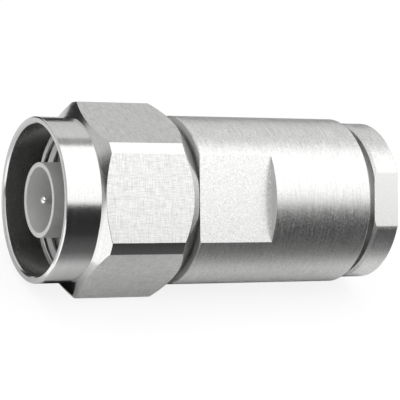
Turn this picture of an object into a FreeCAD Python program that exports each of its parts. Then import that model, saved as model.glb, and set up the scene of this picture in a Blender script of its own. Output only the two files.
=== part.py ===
import FreeCAD, Part
import Sketcher
import math
import os
import re

# Coaxial cable plug with a hexagonal coupling nut and a clamp nut, in millimetres.
# The axis of the plug lies along X. The mating end points to -X and the cable end to +X.
# The origin is on the axis, in the plane of the outer contact's rim.
# The plug lies on one flat of its coupling nut, so +Z is up.

# Driving dimensions. A bore, od or dia is a diameter.

SIZES = [
    # Fits between the pieces
    ("running_clearance", 0.05, "radial play between turned pieces that move on each other"),
    ("face_gap", 0.05, "play between flat faces that move apart"),
    ("groove_play", 0.05, "side play of a ring in the groove that holds it"),
    ("slip_fit", 0.1, "radial play of a piece that is slid in by hand"),

    # Coupling nut, from its mouth to its rear face
    ("contact_recess", 0.7, "outer contact's rim behind the nut's mouth"),
    ("ring_od", 17.85, "round collar in front of the hexagon"),
    ("ring_length", 3.95, "length of that collar"),
    ("edge_break", 0.12, "small chamfer on turned edges"),
    ("hex_rise", 0.2, "flats of the hexagon outside the shell's surface"),
    ("land_rise", 1.1, "narrow round lands of the hexagon outside its flats"),
    ("hex_length", 9.5, "from the collar to the rear end of the lands"),
    ("hex_front_angle", 30.0, "front chamfer, from the end face, in degrees"),
    ("nut_rear_od", 16.7, "small end of the 45 degree rear chamfer"),
    ("mouth_bore", 16.3, "plain bore in front of the thread"),
    ("mouth_depth", 4.0, "depth of the plain bore"),
    ("mouth_lead", 0.2, "chamfer at the mouth"),
    ("thread_bore", 14.8, "crests of the inch thread, 24 turns an inch"),
    ("thread_lead", 0.4, "length of the cone that leads into the thread"),
    ("relief_bore", 16.2, "undercut behind the thread"),
    ("relief_length", 2.3, "length of the undercut"),
    ("lip_thickness", 0.6, "wall in front of the retaining ring"),
    ("rear_lip", 1.8, "wall behind the retaining ring"),
    ("nut_groove_bore", 15.4, "groove for the retaining ring, in the nut"),
    ("nut_gap", 0.25, "gap between the nut and the shell's shoulder"),

    # Retaining ring and neck seal
    ("snap_bore", 12.7, "bore of the retaining ring"),
    ("snap_od", 14.9, "outside of the retaining ring"),
    ("snap_thickness", 0.9, "thickness of the retaining ring"),
    ("snap_play", 0.1, "end play of the retaining ring in the nut"),
    ("snap_opening", 24.0, "opening of the split ring, in degrees"),
    ("neck_seal_section", 0.8, "thickness of the neck seal"),
    ("neck_seal_inset", 0.8, "middle of the neck seal in front of the shoulder"),

    # Body shell
    ("neck_od", 13.8, "neck on which the coupling nut turns"),
    ("neck_length", 4.65, "length of the neck"),
    ("shell_od", 18.6, "main diameter of the shell"),
    ("shell_length", 20.85, "from the shoulder to the rear face"),
    ("shell_flats_af", 16.0, "across the two spanner flats of the shell"),
    ("shell_flats_length", 8.75, "length of those flats"),
    ("shell_rear_edge", 0.2, "rear outer chamfer of the shell"),
    ("seat_bore", 10.0, "bore in which the outer contact sits"),
    ("seat_depth", 2.9, "depth of that seat"),
    ("insulator_bore", 9.2, "bore for the rear insulator"),
    ("insulator_bore_length", 7.5, "length of that bore"),
    ("stack_bore", 14.4, "bore for the clamp parts, and crests of the clamp thread"),
    ("seal_bore", 14.9, "plain bore in which the clamp nut's seal slides"),
    ("seal_bore_depth", 1.5, "depth of the plain bore"),

    # Contacts, insulators and front gasket
    ("contact_od", 8.08, "outer contact, outside"),
    ("contact_bore", 7.0, "outer contact, inside"),
    ("contact_lead", 0.06, "chamfer inside the outer contact's rim"),
    ("contact_flange_od", 11.2, "flange that rests on the neck"),
    ("contact_flange_thickness", 1.2, "thickness of that flange"),
    ("front_gasket_od", 14.4, "gasket against which the socket seals"),
    ("front_gasket_thickness", 1.3, "thickness of that gasket"),
    ("front_insulator_depth", 7.0, "front insulator behind the contact's rim"),
    ("front_insulator_length", 3.0, "length of the front insulator"),
    ("rear_insulator_length", 6.5, "length of the rear insulator"),
    ("collar_inset", 2.5, "pin's collar behind the rear insulator's front face"),
    ("pin_recess", 0.25, "pin's tip behind the contact's rim"),
    ("pin_dia", 0.9, "thin front part of the pin"),
    ("pin_length", 5.15, "length of the thin part"),
    ("pin_lead", 0.22, "chamfer at the pin's tip"),
    ("pin_shank_dia", 2.0, "thicker part of the pin"),
    ("collar_dia", 3.8, "collar that stops the pin"),
    ("collar_length", 1.5, "length of the collar"),
    ("barrel_dia", 3.0, "solder barrel for the cable's wire"),
    ("barrel_length", 5.0, "length of the barrel"),
    ("wire_bore", 1.4, "bore of the barrel"),
    ("wire_depth", 4.0, "depth of that bore"),
    ("solder_hole_dia", 1.0, "cross hole in the barrel"),
    ("solder_hole_inset", 2.8, "middle of that hole in front of the barrel's end"),

    # Cable clamp
    ("clamp_flange_thickness", 2.0, "flange of the braid clamp"),
    ("clamp_nose_od", 9.0, "nose of the braid clamp"),
    ("clamp_nose_length", 0.8, "length of the nose"),
    ("clamp_bore", 8.0, "bore for the cable's insulation"),
    ("ridge_dia", 12.4, "mean diameter of the clamping ridge"),
    ("ridge_height", 0.8, "height of the clamping ridge"),
    ("ridge_width", 1.0, "width of the ridge at its foot"),
    ("cable_gasket_length", 5.0, "length of the cable gasket"),
    ("gasket_bore", 10.4, "bore of the cable gasket"),
    ("washer_thickness", 1.0, "thickness of the thrust washer"),

    # Clamp nut
    ("cable_bore", 10.8, "bore for the cable, in the nut and the washer"),
    ("head_gap", 1.08, "gap between the shell and the nut's head"),
    ("head_od", 17.7, "outside of the nut's head"),
    ("head_length", 3.1, "length of the head"),
    ("head_af", 16.5, "across the two spanner flats of the head"),
    ("head_front_edge", 0.3, "front chamfer of the head"),
    ("bore_lead", 0.5, "chamfer where the cable enters"),
    ("clamp_seal_section", 1.2, "thickness of the clamp nut's seal"),
    ("clamp_seal_inset", 1.9, "middle of that seal in front of the head"),

    # Attitude
    ("hex_roll", 60.0, "turn of the hexagon about the axis, in degrees"),
    ("shell_roll", 60.0, "turn of the shell's flats"),
    ("clamp_roll", 60.5, "turn of the clamp nut's flats"),
]

ALIASES = "|".join(name for name, value, note in SIZES)


def cell(text):
    """Put the sheet's name before each size in an expression."""
    return re.sub(rf"\b({ALIASES})\b", r"sizes.\1", text)


def make_sheet(doc):
    sheet = doc.addObject("Spreadsheet::Sheet", "sizes")
    for row, (name, value, note) in enumerate(SIZES, 1):
        sheet.set(f"A{row}", name)
        sheet.set(f"B{row}", str(value))
        sheet.set(f"C{row}", note)
        sheet.setAlias(f"B{row}", name)
    doc.recompute()
    return sheet


# Stations along X that several pieces share, as expressions of the sizes.

HEX_FLAT_R = "(shell_od / 2 + hex_rise)"
LAND_R = f"({HEX_FLAT_R} + land_rise)"
HEX_FRONT_CHAMFER = f"({LAND_R} - ring_od / 2) * tan(hex_front_angle * 1deg)"
LAND_END = "(ring_length + hex_length)"
NUT_LENGTH = f"({LAND_END} + {LAND_R} - nut_rear_od / 2)"
NUT_GROOVE_END = f"({NUT_LENGTH} - rear_lip)"
NUT_GROOVE_WIDTH = "(snap_thickness + 2 * snap_play)"
NUT_GROOVE_START = f"({NUT_GROOVE_END} - {NUT_GROOVE_WIDTH})"
LIP_START = f"({NUT_GROOVE_START} - lip_thickness)"
RELIEF_START = f"({LIP_START} - relief_length)"
THREAD_START = "(mouth_depth + thread_lead)"

SHOULDER = f"({NUT_LENGTH} - contact_recess + nut_gap)"
NECK_FRONT = f"({SHOULDER} - neck_length)"
SHELL_END = f"({SHOULDER} + shell_length)"
SEAT_FLOOR = f"({NECK_FRONT} + seat_depth)"
LEDGE = f"({SEAT_FLOOR} + insulator_bore_length)"
SNAP_FRONT = f"({NUT_GROOVE_START} - contact_recess + snap_play)"
NECK_SEAL_MIDDLE = f"({SHOULDER} - neck_seal_inset)"
CLAMP_REAR = f"({LEDGE} + clamp_flange_thickness)"
GASKET_REAR = f"({CLAMP_REAR} + cable_gasket_length)"
WASHER_FRONT = f"({GASKET_REAR} + face_gap)"
SHANK_FRONT = f"({WASHER_FRONT} + washer_thickness + face_gap)"
HEAD_FRONT = f"({SHELL_END} + head_gap)"
CLAMP_SEAL_MIDDLE = f"({HEAD_FRONT} - clamp_seal_inset)"

NUT_BORE_R = "(neck_od / 2 + running_clearance)"
SHANK_R = "(stack_bore / 2 - running_clearance)"
STACK_R = "(stack_bore / 2 - slip_fit)"


def origin_feature(body, role):
    return next(f for f in body.Origin.OriginFeatures if f.Role == role)


def place(piece, station, roll="0"):
    """Put a piece's own origin at a station of the axis, turned about the axis."""
    piece.Placement = FreeCAD.Placement(
        FreeCAD.Vector(0, 0, 0), FreeCAD.Rotation(FreeCAD.Vector(1, 0, 0), 1))
    piece.setExpression("Placement.Base.x", cell(station))
    piece.setExpression("Placement.Rotation.Angle", cell(roll))


def draw_outline(sketch, corners):
    """Draw a closed outline whose corners are bound to expressions of the sizes."""
    count = len(corners)
    # The points start on a circle, so that no two of them coincide before they are bound.
    start = []
    for i in range(count):
        turn = 2 * math.pi * i / count
        start.append(FreeCAD.Vector(count * math.cos(turn), count * math.sin(turn), 0))
    for i in range(count):
        sketch.addGeometry(Part.LineSegment(start[i], start[(i + 1) % count]), False)
    for i in range(count):
        sketch.addConstraint(Sketcher.Constraint("Coincident", i, 2, (i + 1) % count, 1))
    for i, (along, out) in enumerate(corners):
        for kind, size in (("DistanceX", along), ("DistanceY", out)):
            index = sketch.addConstraint(Sketcher.Constraint(kind, -1, 1, i, 1, 1.0))
            sketch.setExpression(f"Constraints[{index}]", cell(size))


def attached_sketch(body, name, role):
    sketch = body.newObject("Sketcher::SketchObject", name)
    sketch.AttachmentSupport = [(origin_feature(body, role), "")]
    sketch.MapMode = "FlatFace"
    return sketch


def turned(doc, name, corners, station, roll="0", sweep="360"):
    """A piece turned about X: corners are (distance from its front, radius)."""
    body = doc.addObject("PartDesign::Body", name)
    sketch = attached_sketch(body, f"{name}_profile", "XY_Plane")
    draw_outline(sketch, corners)
    turning = body.newObject("PartDesign::Revolution", f"{name}_turning")
    turning.Profile = sketch
    turning.ReferenceAxis = (sketch, ["H_Axis"])
    turning.setExpression("Angle", cell(sweep))
    place(body, station, roll)
    doc.recompute()
    return body


def mill_flats(doc, body, corners, count):
    """Mill one flat on the +Z side of a turned piece, and repeat it about X.

    corners are (distance from the piece's front, height) of the metal that goes.
    """
    before = body.Shape.Volume
    sketch = attached_sketch(body, f"{body.Name}_flat_outline", "XZ_Plane")
    draw_outline(sketch, corners)
    flat = body.newObject("PartDesign::Pocket", f"{body.Name}_flat")
    flat.Profile = sketch
    flat.Type = "ThroughAll"
    flat.Midplane = True
    doc.recompute()
    pattern = body.newObject("PartDesign::PolarPattern", f"{body.Name}_flats")
    pattern.Originals = [flat]
    pattern.Axis = (origin_feature(body, "X_Axis"), [""])
    pattern.Angle = 360
    pattern.Occurrences = count
    body.Tip = pattern
    doc.recompute()
    if body.Shape.Volume >= before:
        raise RuntimeError(f"the flats of {body.Name} cut nothing")


def seal_ring(doc, name, ring_radius, section, station):
    """A round-section seal about the axis."""
    ring = doc.addObject("Part::Torus", name)
    ring.setExpression("Radius1", cell(ring_radius))
    ring.setExpression("Radius2", cell(f"{section} / 2"))
    ring.Placement = FreeCAD.Placement(
        FreeCAD.Vector(0, 0, 0), FreeCAD.Rotation(FreeCAD.Vector(0, 1, 0), 90))
    ring.setExpression("Placement.Base.x", cell(station))
    doc.recompute()
    return ring


def coupling_nut(doc):
    land_front = f"ring_length + {HEX_FRONT_CHAMFER}"
    body = turned(doc, "coupling_nut", [
        ("0", "mouth_bore / 2 + mouth_lead"),
        ("0", "ring_od / 2 - edge_break"),
        ("edge_break", "ring_od / 2"),
        ("ring_length", "ring_od / 2"),
        (land_front, LAND_R),
        (LAND_END, LAND_R),
        (NUT_LENGTH, "nut_rear_od / 2"),
        (NUT_LENGTH, NUT_BORE_R),
        (NUT_GROOVE_END, NUT_BORE_R),
        (NUT_GROOVE_END, "nut_groove_bore / 2"),
        (NUT_GROOVE_START, "nut_groove_bore / 2"),
        (NUT_GROOVE_START, NUT_BORE_R),
        (LIP_START, NUT_BORE_R),
        (LIP_START, "relief_bore / 2"),
        (RELIEF_START, "relief_bore / 2"),
        (RELIEF_START, "thread_bore / 2"),
        (THREAD_START, "thread_bore / 2"),
        ("mouth_depth", "mouth_bore / 2"),
        ("mouth_lead", "mouth_bore / 2"),
    ], "-contact_recess", "hex_roll")
    mill_flats(doc, body, [
        ("ring_length", HEX_FLAT_R),
        (NUT_LENGTH, HEX_FLAT_R),
        (NUT_LENGTH, f"2 * {LAND_R}"),
        ("ring_length", f"2 * {LAND_R}"),
    ], 6)


def retaining_ring(doc):
    turned(doc, "retaining_ring", [
        ("0", "snap_bore / 2"),
        ("0", "snap_od / 2"),
        ("snap_thickness", "snap_od / 2"),
        ("snap_thickness", "snap_bore / 2"),
    ], SNAP_FRONT, "shell_roll", "360 - snap_opening")


def body_shell(doc):
    """Stations in the profile are measured from the neck's front face."""
    snap_start = f"({SNAP_FRONT} - {NECK_FRONT} - groove_play)"
    snap_end = f"({snap_start} + snap_thickness + 2 * groove_play)"
    snap_floor = "(snap_bore / 2 - groove_play)"
    seal_floor = "(neck_od / 2 - neck_seal_section)"
    seal_start = "(neck_length - neck_seal_inset - neck_seal_section / 2 - groove_play)"
    seal_end = "(neck_length - neck_seal_inset + neck_seal_section / 2 + groove_play)"
    ledge = "(seat_depth + insulator_bore_length)"
    end = "(neck_length + shell_length)"
    body = turned(doc, "body_shell", [
        ("0", "seat_bore / 2"),
        ("0", "neck_od / 2 - edge_break"),
        ("edge_break", "neck_od / 2"),
        (snap_start, "neck_od / 2"),
        (snap_start, snap_floor),
        (snap_end, snap_floor),
        (snap_end, "neck_od / 2"),
        (seal_start, "neck_od / 2"),
        (seal_start, seal_floor),
        (seal_end, seal_floor),
        (seal_end, "neck_od / 2"),
        ("neck_length", "neck_od / 2"),
        ("neck_length", "shell_od / 2 - edge_break"),
        ("neck_length + edge_break", "shell_od / 2"),
        (f"{end} - shell_rear_edge", "shell_od / 2"),
        (end, "shell_od / 2 - shell_rear_edge"),
        (end, "seal_bore / 2 + shell_rear_edge"),
        (f"{end} - shell_rear_edge", "seal_bore / 2"),
        (f"{end} - seal_bore_depth", "seal_bore / 2"),
        (f"{end} - seal_bore_depth", "stack_bore / 2"),
        (ledge, "stack_bore / 2"),
        (ledge, "insulator_bore / 2"),
        ("seat_depth", "insulator_bore / 2"),
        ("seat_depth", "seat_bore / 2"),
    ], NECK_FRONT, "shell_roll")
    # The cutter's sharp corner leaves a square end wall.
    flats_end = "(neck_length + shell_flats_length)"
    mill_flats(doc, body, [
        ("0", "shell_flats_af / 2"),
        (flats_end, "shell_flats_af / 2"),
        (flats_end, "shell_od"),
        ("0", "shell_od"),
    ], 2)


def outer_contact(doc):
    tube_length = f"({NECK_FRONT} - contact_flange_thickness)"
    turned(doc, "outer_contact", [
        ("0", "contact_bore / 2 + contact_lead"),
        ("0", "contact_od / 2 - edge_break"),
        ("edge_break", "contact_od / 2"),
        (tube_length, "contact_od / 2"),
        (tube_length, "contact_flange_od / 2"),
        (NECK_FRONT, "contact_flange_od / 2"),
        (NECK_FRONT, "seat_bore / 2"),
        (SEAT_FLOOR, "seat_bore / 2"),
        (SEAT_FLOOR, "contact_bore / 2"),
        ("contact_lead", "contact_bore / 2"),
    ], "0")


def interface_gasket(doc):
    turned(doc, "interface_gasket", [
        ("0", "contact_flange_od / 2 + slip_fit"),
        ("0", "front_gasket_od / 2"),
        ("front_gasket_thickness", "front_gasket_od / 2"),
        ("front_gasket_thickness", "contact_flange_od / 2 + slip_fit"),
    ], f"{NECK_FRONT} - front_gasket_thickness")


def front_insulator(doc):
    turned(doc, "front_insulator", [
        ("0", "pin_shank_dia / 2"),
        ("0", "contact_bore / 2"),
        ("front_insulator_length", "contact_bore / 2"),
        ("front_insulator_length", "pin_shank_dia / 2"),
    ], "front_insulator_depth")


def rear_insulator(doc):
    turned(doc, "rear_insulator", [
        ("0", "pin_shank_dia / 2"),
        ("0", "insulator_bore / 2"),
        ("rear_insulator_length", "insulator_bore / 2"),
        ("rear_insulator_length", "collar_dia / 2"),
        ("collar_inset", "collar_dia / 2"),
        ("collar_inset", "pin_shank_dia / 2"),
    ], SEAT_FLOOR)


def centre_contact(doc):
    """A turned pin: thin tip, shank, stop collar and solder barrel with a cross hole."""
    collar = f"({SEAT_FLOOR} + collar_inset - pin_recess)"
    barrel = f"({collar} + collar_length)"
    end = f"({barrel} + barrel_length)"
    body = turned(doc, "centre_contact", [
        ("0", "0"),
        ("0", "pin_dia / 2 - pin_lead"),
        ("pin_lead", "pin_dia / 2"),
        ("pin_length", "pin_dia / 2"),
        ("pin_length", "pin_shank_dia / 2"),
        (collar, "pin_shank_dia / 2"),
        (collar, "collar_dia / 2"),
        (barrel, "collar_dia / 2"),
        (barrel, "barrel_dia / 2"),
        (end, "barrel_dia / 2"),
        (end, "wire_bore / 2"),
        (f"{end} - wire_depth", "wire_bore / 2"),
        (f"{end} - wire_depth", "0"),
    ], "pin_recess")
    before = body.Shape.Volume
    sketch = attached_sketch(body, "solder_hole_outline", "XY_Plane")
    sketch.addGeometry(Part.Circle(), False)
    sketch.addConstraint(Sketcher.Constraint("PointOnObject", 0, 3, -1))
    index = sketch.addConstraint(Sketcher.Constraint("DistanceX", -1, 1, 0, 3, 1.0))
    sketch.setExpression(f"Constraints[{index}]", cell(f"{end} - solder_hole_inset"))
    index = sketch.addConstraint(Sketcher.Constraint("Diameter", 0, 1.0))
    sketch.setExpression(f"Constraints[{index}]", cell("solder_hole_dia"))
    hole = body.newObject("PartDesign::Pocket", "solder_hole")
    hole.Profile = sketch
    hole.Type = "ThroughAll"
    hole.Reversed = True
    doc.recompute()
    if body.Shape.Volume >= before:
        raise RuntimeError("the solder hole cuts nothing")


def braid_clamp(doc):
    """Flanged bush whose nose enters the insulator's bore, with a ridge that grips the gasket."""
    flange = "clamp_nose_length"
    rear = "(clamp_nose_length + clamp_flange_thickness)"
    turned(doc, "braid_clamp", [
        ("0", "clamp_bore / 2"),
        ("0", "clamp_nose_od / 2"),
        (flange, "clamp_nose_od / 2"),
        (flange, STACK_R),
        (rear, STACK_R),
        (rear, "ridge_dia / 2 + ridge_width / 2"),
        (f"{rear} + ridge_height", "ridge_dia / 2"),
        (rear, "ridge_dia / 2 - ridge_width / 2"),
        (rear, "clamp_bore / 2"),
    ], f"{LEDGE} - clamp_nose_length")


def cable_gasket(doc):
    turned(doc, "cable_gasket", [
        ("0", "gasket_bore / 2"),
        ("0", "ridge_dia / 2 - ridge_width / 2"),
        ("ridge_height", "ridge_dia / 2"),
        ("0", "ridge_dia / 2 + ridge_width / 2"),
        ("0", STACK_R),
        ("cable_gasket_length", STACK_R),
        ("cable_gasket_length", "gasket_bore / 2"),
    ], CLAMP_REAR)


def thrust_washer(doc):
    turned(doc, "thrust_washer", [
        ("0", "cable_bore / 2"),
        ("0", STACK_R),
        ("washer_thickness", STACK_R),
        ("washer_thickness", "cable_bore / 2"),
    ], WASHER_FRONT)


def clamp_nut(doc):
    """Stations in the profile are measured from the front of the threaded shank."""
    head = f"({HEAD_FRONT} - {SHANK_FRONT})"
    end = f"({head} + head_length)"
    seal = f"({head} - clamp_seal_inset)"
    half_groove = "(clamp_seal_section / 2 + groove_play)"
    groove_floor = "(seal_bore / 2 - running_clearance - clamp_seal_section)"
    body = turned(doc, "clamp_nut", [
        ("0", "cable_bore / 2"),
        ("0", f"{SHANK_R} - edge_break"),
        ("edge_break", SHANK_R),
        (f"{seal} - {half_groove}", SHANK_R),
        (f"{seal} - {half_groove}", groove_floor),
        (f"{seal} + {half_groove}", groove_floor),
        (f"{seal} + {half_groove}", SHANK_R),
        (head, SHANK_R),
        (head, "head_od / 2 - head_front_edge"),
        (f"{head} + head_front_edge", "head_od / 2"),
        (f"{end} - edge_break", "head_od / 2"),
        (end, "head_od / 2 - edge_break"),
        (end, "cable_bore / 2 + bore_lead"),
        (f"{end} - bore_lead", "cable_bore / 2"),
    ], SHANK_FRONT, "clamp_roll")
    # The shank is thinner than the head's flats, so the cut can run the nut's whole length.
    mill_flats(doc, body, [
        ("0", "head_af / 2"),
        (end, "head_af / 2"),
        (end, "head_od"),
        ("0", "head_od"),
    ], 2)


def check_document(doc):
    for item in doc.Objects:
        if "Invalid" in item.State or "Error" in item.State:
            raise RuntimeError(f"{item.Name} failed: {item.State}")


def write_pieces(pieces):
    for piece in pieces:
        if piece.Shape.isNull() or not piece.Shape.isValid():
            raise RuntimeError(f"{piece.Label} has no valid shape")
    os.makedirs("parts", exist_ok=True)
    for piece in pieces:
        piece.Shape.exportStep(f"parts/{piece.Label}.step")
        print(f"{piece.Label}: {piece.Shape.Volume:.1f} mm3, {len(piece.Shape.Solids)} solid")


def main():
    doc = FreeCAD.newDocument("coaxial_plug")
    make_sheet(doc)
    coupling_nut(doc)
    retaining_ring(doc)
    seal_ring(doc, "neck_seal", "(neck_od - neck_seal_section) / 2",
              "neck_seal_section", NECK_SEAL_MIDDLE)
    body_shell(doc)
    outer_contact(doc)
    interface_gasket(doc)
    front_insulator(doc)
    rear_insulator(doc)
    centre_contact(doc)
    braid_clamp(doc)
    cable_gasket(doc)
    thrust_washer(doc)
    clamp_nut(doc)
    seal_ring(doc, "clamp_nut_seal",
              "(seal_bore / 2 - running_clearance - clamp_seal_section / 2)",
              "clamp_seal_section", CLAMP_SEAL_MIDDLE)
    doc.recompute()
    check_document(doc)
    pieces = [o for o in doc.Objects if o.TypeId in ("PartDesign::Body", "Part::Torus")]
    write_pieces(pieces)
    return doc


DOCUMENT = main()
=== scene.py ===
# %% [markdown]
# A cable plug for radio signals lies on a white table, seen from its mating end.
# Almost all of it was turned on a lathe from brass bar and then plated with nickel.
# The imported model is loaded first. It holds every piece at its true size, as a frame for the looks.

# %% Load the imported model
import math
import bpy
import bmesh
import numpy as np
from mathutils import Matrix, Vector


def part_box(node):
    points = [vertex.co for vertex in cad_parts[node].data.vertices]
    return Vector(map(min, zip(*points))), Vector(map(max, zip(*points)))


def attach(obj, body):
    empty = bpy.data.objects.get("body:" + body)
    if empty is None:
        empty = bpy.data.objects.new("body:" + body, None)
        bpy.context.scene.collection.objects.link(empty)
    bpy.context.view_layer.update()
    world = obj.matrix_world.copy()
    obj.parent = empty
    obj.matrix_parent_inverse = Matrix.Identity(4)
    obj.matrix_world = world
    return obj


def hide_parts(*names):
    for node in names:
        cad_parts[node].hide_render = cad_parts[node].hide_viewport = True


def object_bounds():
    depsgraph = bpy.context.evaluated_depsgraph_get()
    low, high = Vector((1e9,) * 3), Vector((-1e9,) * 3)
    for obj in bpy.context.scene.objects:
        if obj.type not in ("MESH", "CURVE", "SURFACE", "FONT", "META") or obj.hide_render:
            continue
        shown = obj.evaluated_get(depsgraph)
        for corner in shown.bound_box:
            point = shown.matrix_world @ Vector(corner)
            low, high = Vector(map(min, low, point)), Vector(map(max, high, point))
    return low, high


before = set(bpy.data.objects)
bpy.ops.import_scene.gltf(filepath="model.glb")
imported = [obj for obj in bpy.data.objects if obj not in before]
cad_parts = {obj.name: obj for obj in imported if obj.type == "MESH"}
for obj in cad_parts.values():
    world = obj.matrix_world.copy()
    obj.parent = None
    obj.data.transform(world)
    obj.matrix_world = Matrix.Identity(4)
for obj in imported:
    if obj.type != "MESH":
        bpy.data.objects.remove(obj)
cad_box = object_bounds()
MM = 0.001
print("pieces in the frame:", len(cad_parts))

# %% [markdown]
# The camera comes next, because it decides how much detail each piece needs.
# The photograph shows the plug obliquely from the front, with nearly straight parallel lines.
# That means a long lens from some distance, so the lens is 180 mm on a frame 36 mm wide.
# The axis of the plug makes 62 degrees with the line of sight. Square to the axis, the camera
# looks down by 29 degrees, and the shell's spanner flat nearly faces it there.

# %% Camera
PICTURE_WIDTH = 400
FOCAL_PIXELS = 2000.5
SENSOR_MM = 36
AXIS_TO_SIGHT = math.radians(62.25)
SIGHT_ELEVATION = math.radians(29)

axis = Vector((1, 0, 0))
near_side = Vector((0, -math.cos(SIGHT_ELEVATION), math.sin(SIGHT_ELEVATION)))
up_side = Vector((0, math.sin(SIGHT_ELEVATION), math.cos(SIGHT_ELEVATION)))
sight = axis * math.cos(AXIS_TO_SIGHT) - near_side * math.sin(AXIS_TO_SIGHT)
right = axis * math.sin(AXIS_TO_SIGHT) + near_side * math.cos(AXIS_TO_SIGHT)

mouth = Vector((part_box("coupling_nut")[0][0], 0, 0))
MOUTH_LEFT_OF_VIEW = 17.84 * MM
MOUTH_DISTANCE = 213.27 * MM

lens = bpy.data.cameras.new("long_lens")
lens.sensor_width = SENSOR_MM
lens.lens = FOCAL_PIXELS / PICTURE_WIDTH * lens.sensor_width
lens.clip_start = 0.01
camera = bpy.data.objects.new("camera", lens)
bpy.context.collection.objects.link(camera)
camera.rotation_euler = Matrix([right, up_side, -sight]).transposed().to_euler()
camera.location = mouth + right * MOUTH_LEFT_OF_VIEW - sight * MOUTH_DISTANCE
bpy.context.scene.camera = camera
print("lens", round(lens.lens, 2), "mm, camera at", [round(v, 4) for v in camera.location])

# %% [markdown]
# Colours are written as the sRGB hex values that a picture shows. Shaders work with linear light,
# so one function changes the one into the other.
# One more small function adds a node to any tree, with its settings and its inputs.

# %% Colour and node helpers
def linear(hex_colour):
    """An sRGB colour such as #C8C8C6 as the linear values that a shader uses."""
    parts = [int(hex_colour[i:i + 2], 16) / 255 for i in (1, 3, 5)]
    return [p / 12.92 if p <= 0.04045 else ((p + 0.055) / 1.055) ** 2.4 for p in parts] + [1]


def socket(sockets, name):
    """A node's socket by its name, or by its identifier where several share one name."""
    return next(s for s in sockets if name in (s.identifier, s.name))


def add(tree, kind, inputs=None, **settings):
    """A node of that kind, with its settings. Each input gets a value, or the socket that feeds it."""
    node = tree.nodes.new(kind)
    for name, value in settings.items():
        setattr(node, name, value)
    for name, given in (inputs or {}).items():
        if isinstance(given, bpy.types.NodeSocket):
            tree.links.new(given, socket(node.inputs, name))
        else:
            socket(node.inputs, name).default_value = given
    return node


def new_material(name):
    """A material with an empty tree of nodes."""
    material = bpy.data.materials.new(name)
    material.use_nodes = True
    material.node_tree.nodes.clear()
    return material


print("the sRGB grey #808080 is", round(linear("#808080")[0], 3), "in linear light")

# %% [markdown]
# What the eye reads on worked metal are the marks of the tools. A lathe leaves fine rings, all of them
# square to the axis, and a milling cutter leaves fine strokes that cross. They could be modelled, but
# there are thousands of them, so noise draws them. For turned metal it is stretched round the axis: it
# changes fast along X and slowly along Y and Z. Real marks are a few hundredths of a millimetre apart.
# That is too fine for the picture, so they are drawn two to four times as coarse.

# %% Marks of the tools
NOISE_LOW, NOISE_HIGH = 0.3, 0.7
NOISE_ROUGHNESS = 0.6


def grain(tree, along_x_mm, across_mm, detail=3):
    """Noise with one grain about every so many millimetres along X and across it."""
    place = add(tree, "ShaderNodeTexCoord").outputs["Object"]
    scale = (1 / (along_x_mm * MM), 1 / (across_mm * MM), 1 / (across_mm * MM))
    stretched = add(tree, "ShaderNodeMapping", {"Scale": scale, "Vector": place})
    return add(tree, "ShaderNodeTexNoise", {
        "Scale": 1, "Detail": detail, "Roughness": NOISE_ROUGHNESS,
        "Vector": stretched.outputs["Vector"]}).outputs["Fac"]


def between(tree, factor, low, high):
    """A noise factor, most of which lies from NOISE_LOW to NOISE_HIGH, as a number from low to high."""
    return add(tree, "ShaderNodeMapRange", {
        "Value": factor, "From Min": NOISE_LOW, "From Max": NOISE_HIGH,
        "To Min": low, "To Max": high}).outputs["Result"]


print("marks use the noise from", NOISE_LOW, "to", NOISE_HIGH)

# %% [markdown]
# Nickel plate over brass is a grey metal that reflects a little more than half of the light. One
# function makes every plated finish, because they differ only in colour, gloss and marks. A painted
# picture could do the same, but noise has no seams and fits any size. Half of the marks come from the
# tool. The other half is the grain of the plate itself, or on the hexagon strokes that cross the first.

# %% Plated finishes
PLATE_GRAIN_MM = 0.22
ROUGHNESS_SPREAD = 0.3


def plated(name, dark, light, roughness, along_x_mm, across_mm, depth_mm, crossed=False):
    """Worked metal with a plate on it. Dark and light are its colours in and between the marks."""
    material = new_material(name)
    tree = material.node_tree
    second = (across_mm, along_x_mm) if crossed else (PLATE_GRAIN_MM, PLATE_GRAIN_MM)
    mixed = add(tree, "ShaderNodeMix", {
        "Factor_Float": 0.5, "A_Float": grain(tree, along_x_mm, across_mm),
        "B_Float": grain(tree, *second)}, data_type="FLOAT")
    marks = socket(mixed.outputs, "Result_Float")
    colour = add(tree, "ShaderNodeMix", {
        "Factor_Float": between(tree, marks, 0, 1),
        "A_Color": linear(dark), "B_Color": linear(light)}, data_type="RGBA")
    relief = add(tree, "ShaderNodeBump", {"Strength": 1, "Distance": depth_mm * MM, "Height": marks})
    least, most = roughness * (1 - ROUGHNESS_SPREAD), roughness * (1 + ROUGHNESS_SPREAD)
    skin = add(tree, "ShaderNodeBsdfPrincipled", {
        "Metallic": 1, "Base Color": socket(colour.outputs, "Result_Color"),
        "Roughness": between(tree, marks, least, most), "Normal": relief.outputs["Normal"]})
    add(tree, "ShaderNodeOutputMaterial", {"Surface": skin.outputs["BSDF"]})
    return material


print("a finish has", 1 - ROUGHNESS_SPREAD, "to", 1 + ROUGHNESS_SPREAD, "times its mean roughness")

# %% [markdown]
# Each turned piece is a closed outline that runs once round the axis. Blender's Screw modifier or the
# Spin tool could do that, but a spanner flat then needs a boolean cut, which leaves a rough mesh.
# Here each ring of the mesh gets its own radius at every angle, so a flat is only a place where the
# radius stops at the flat. The mesh stays a clean grid, and the curved edges of the flats are exact.

# %% Angles round the axis
ROUND_STEPS = 192


def plain_round(steps=ROUND_STEPS):
    """Evenly spaced angles round the axis, and no flats."""
    return np.linspace(0, 2 * math.pi, steps, endpoint=False), np.full(steps, np.inf)


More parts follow.
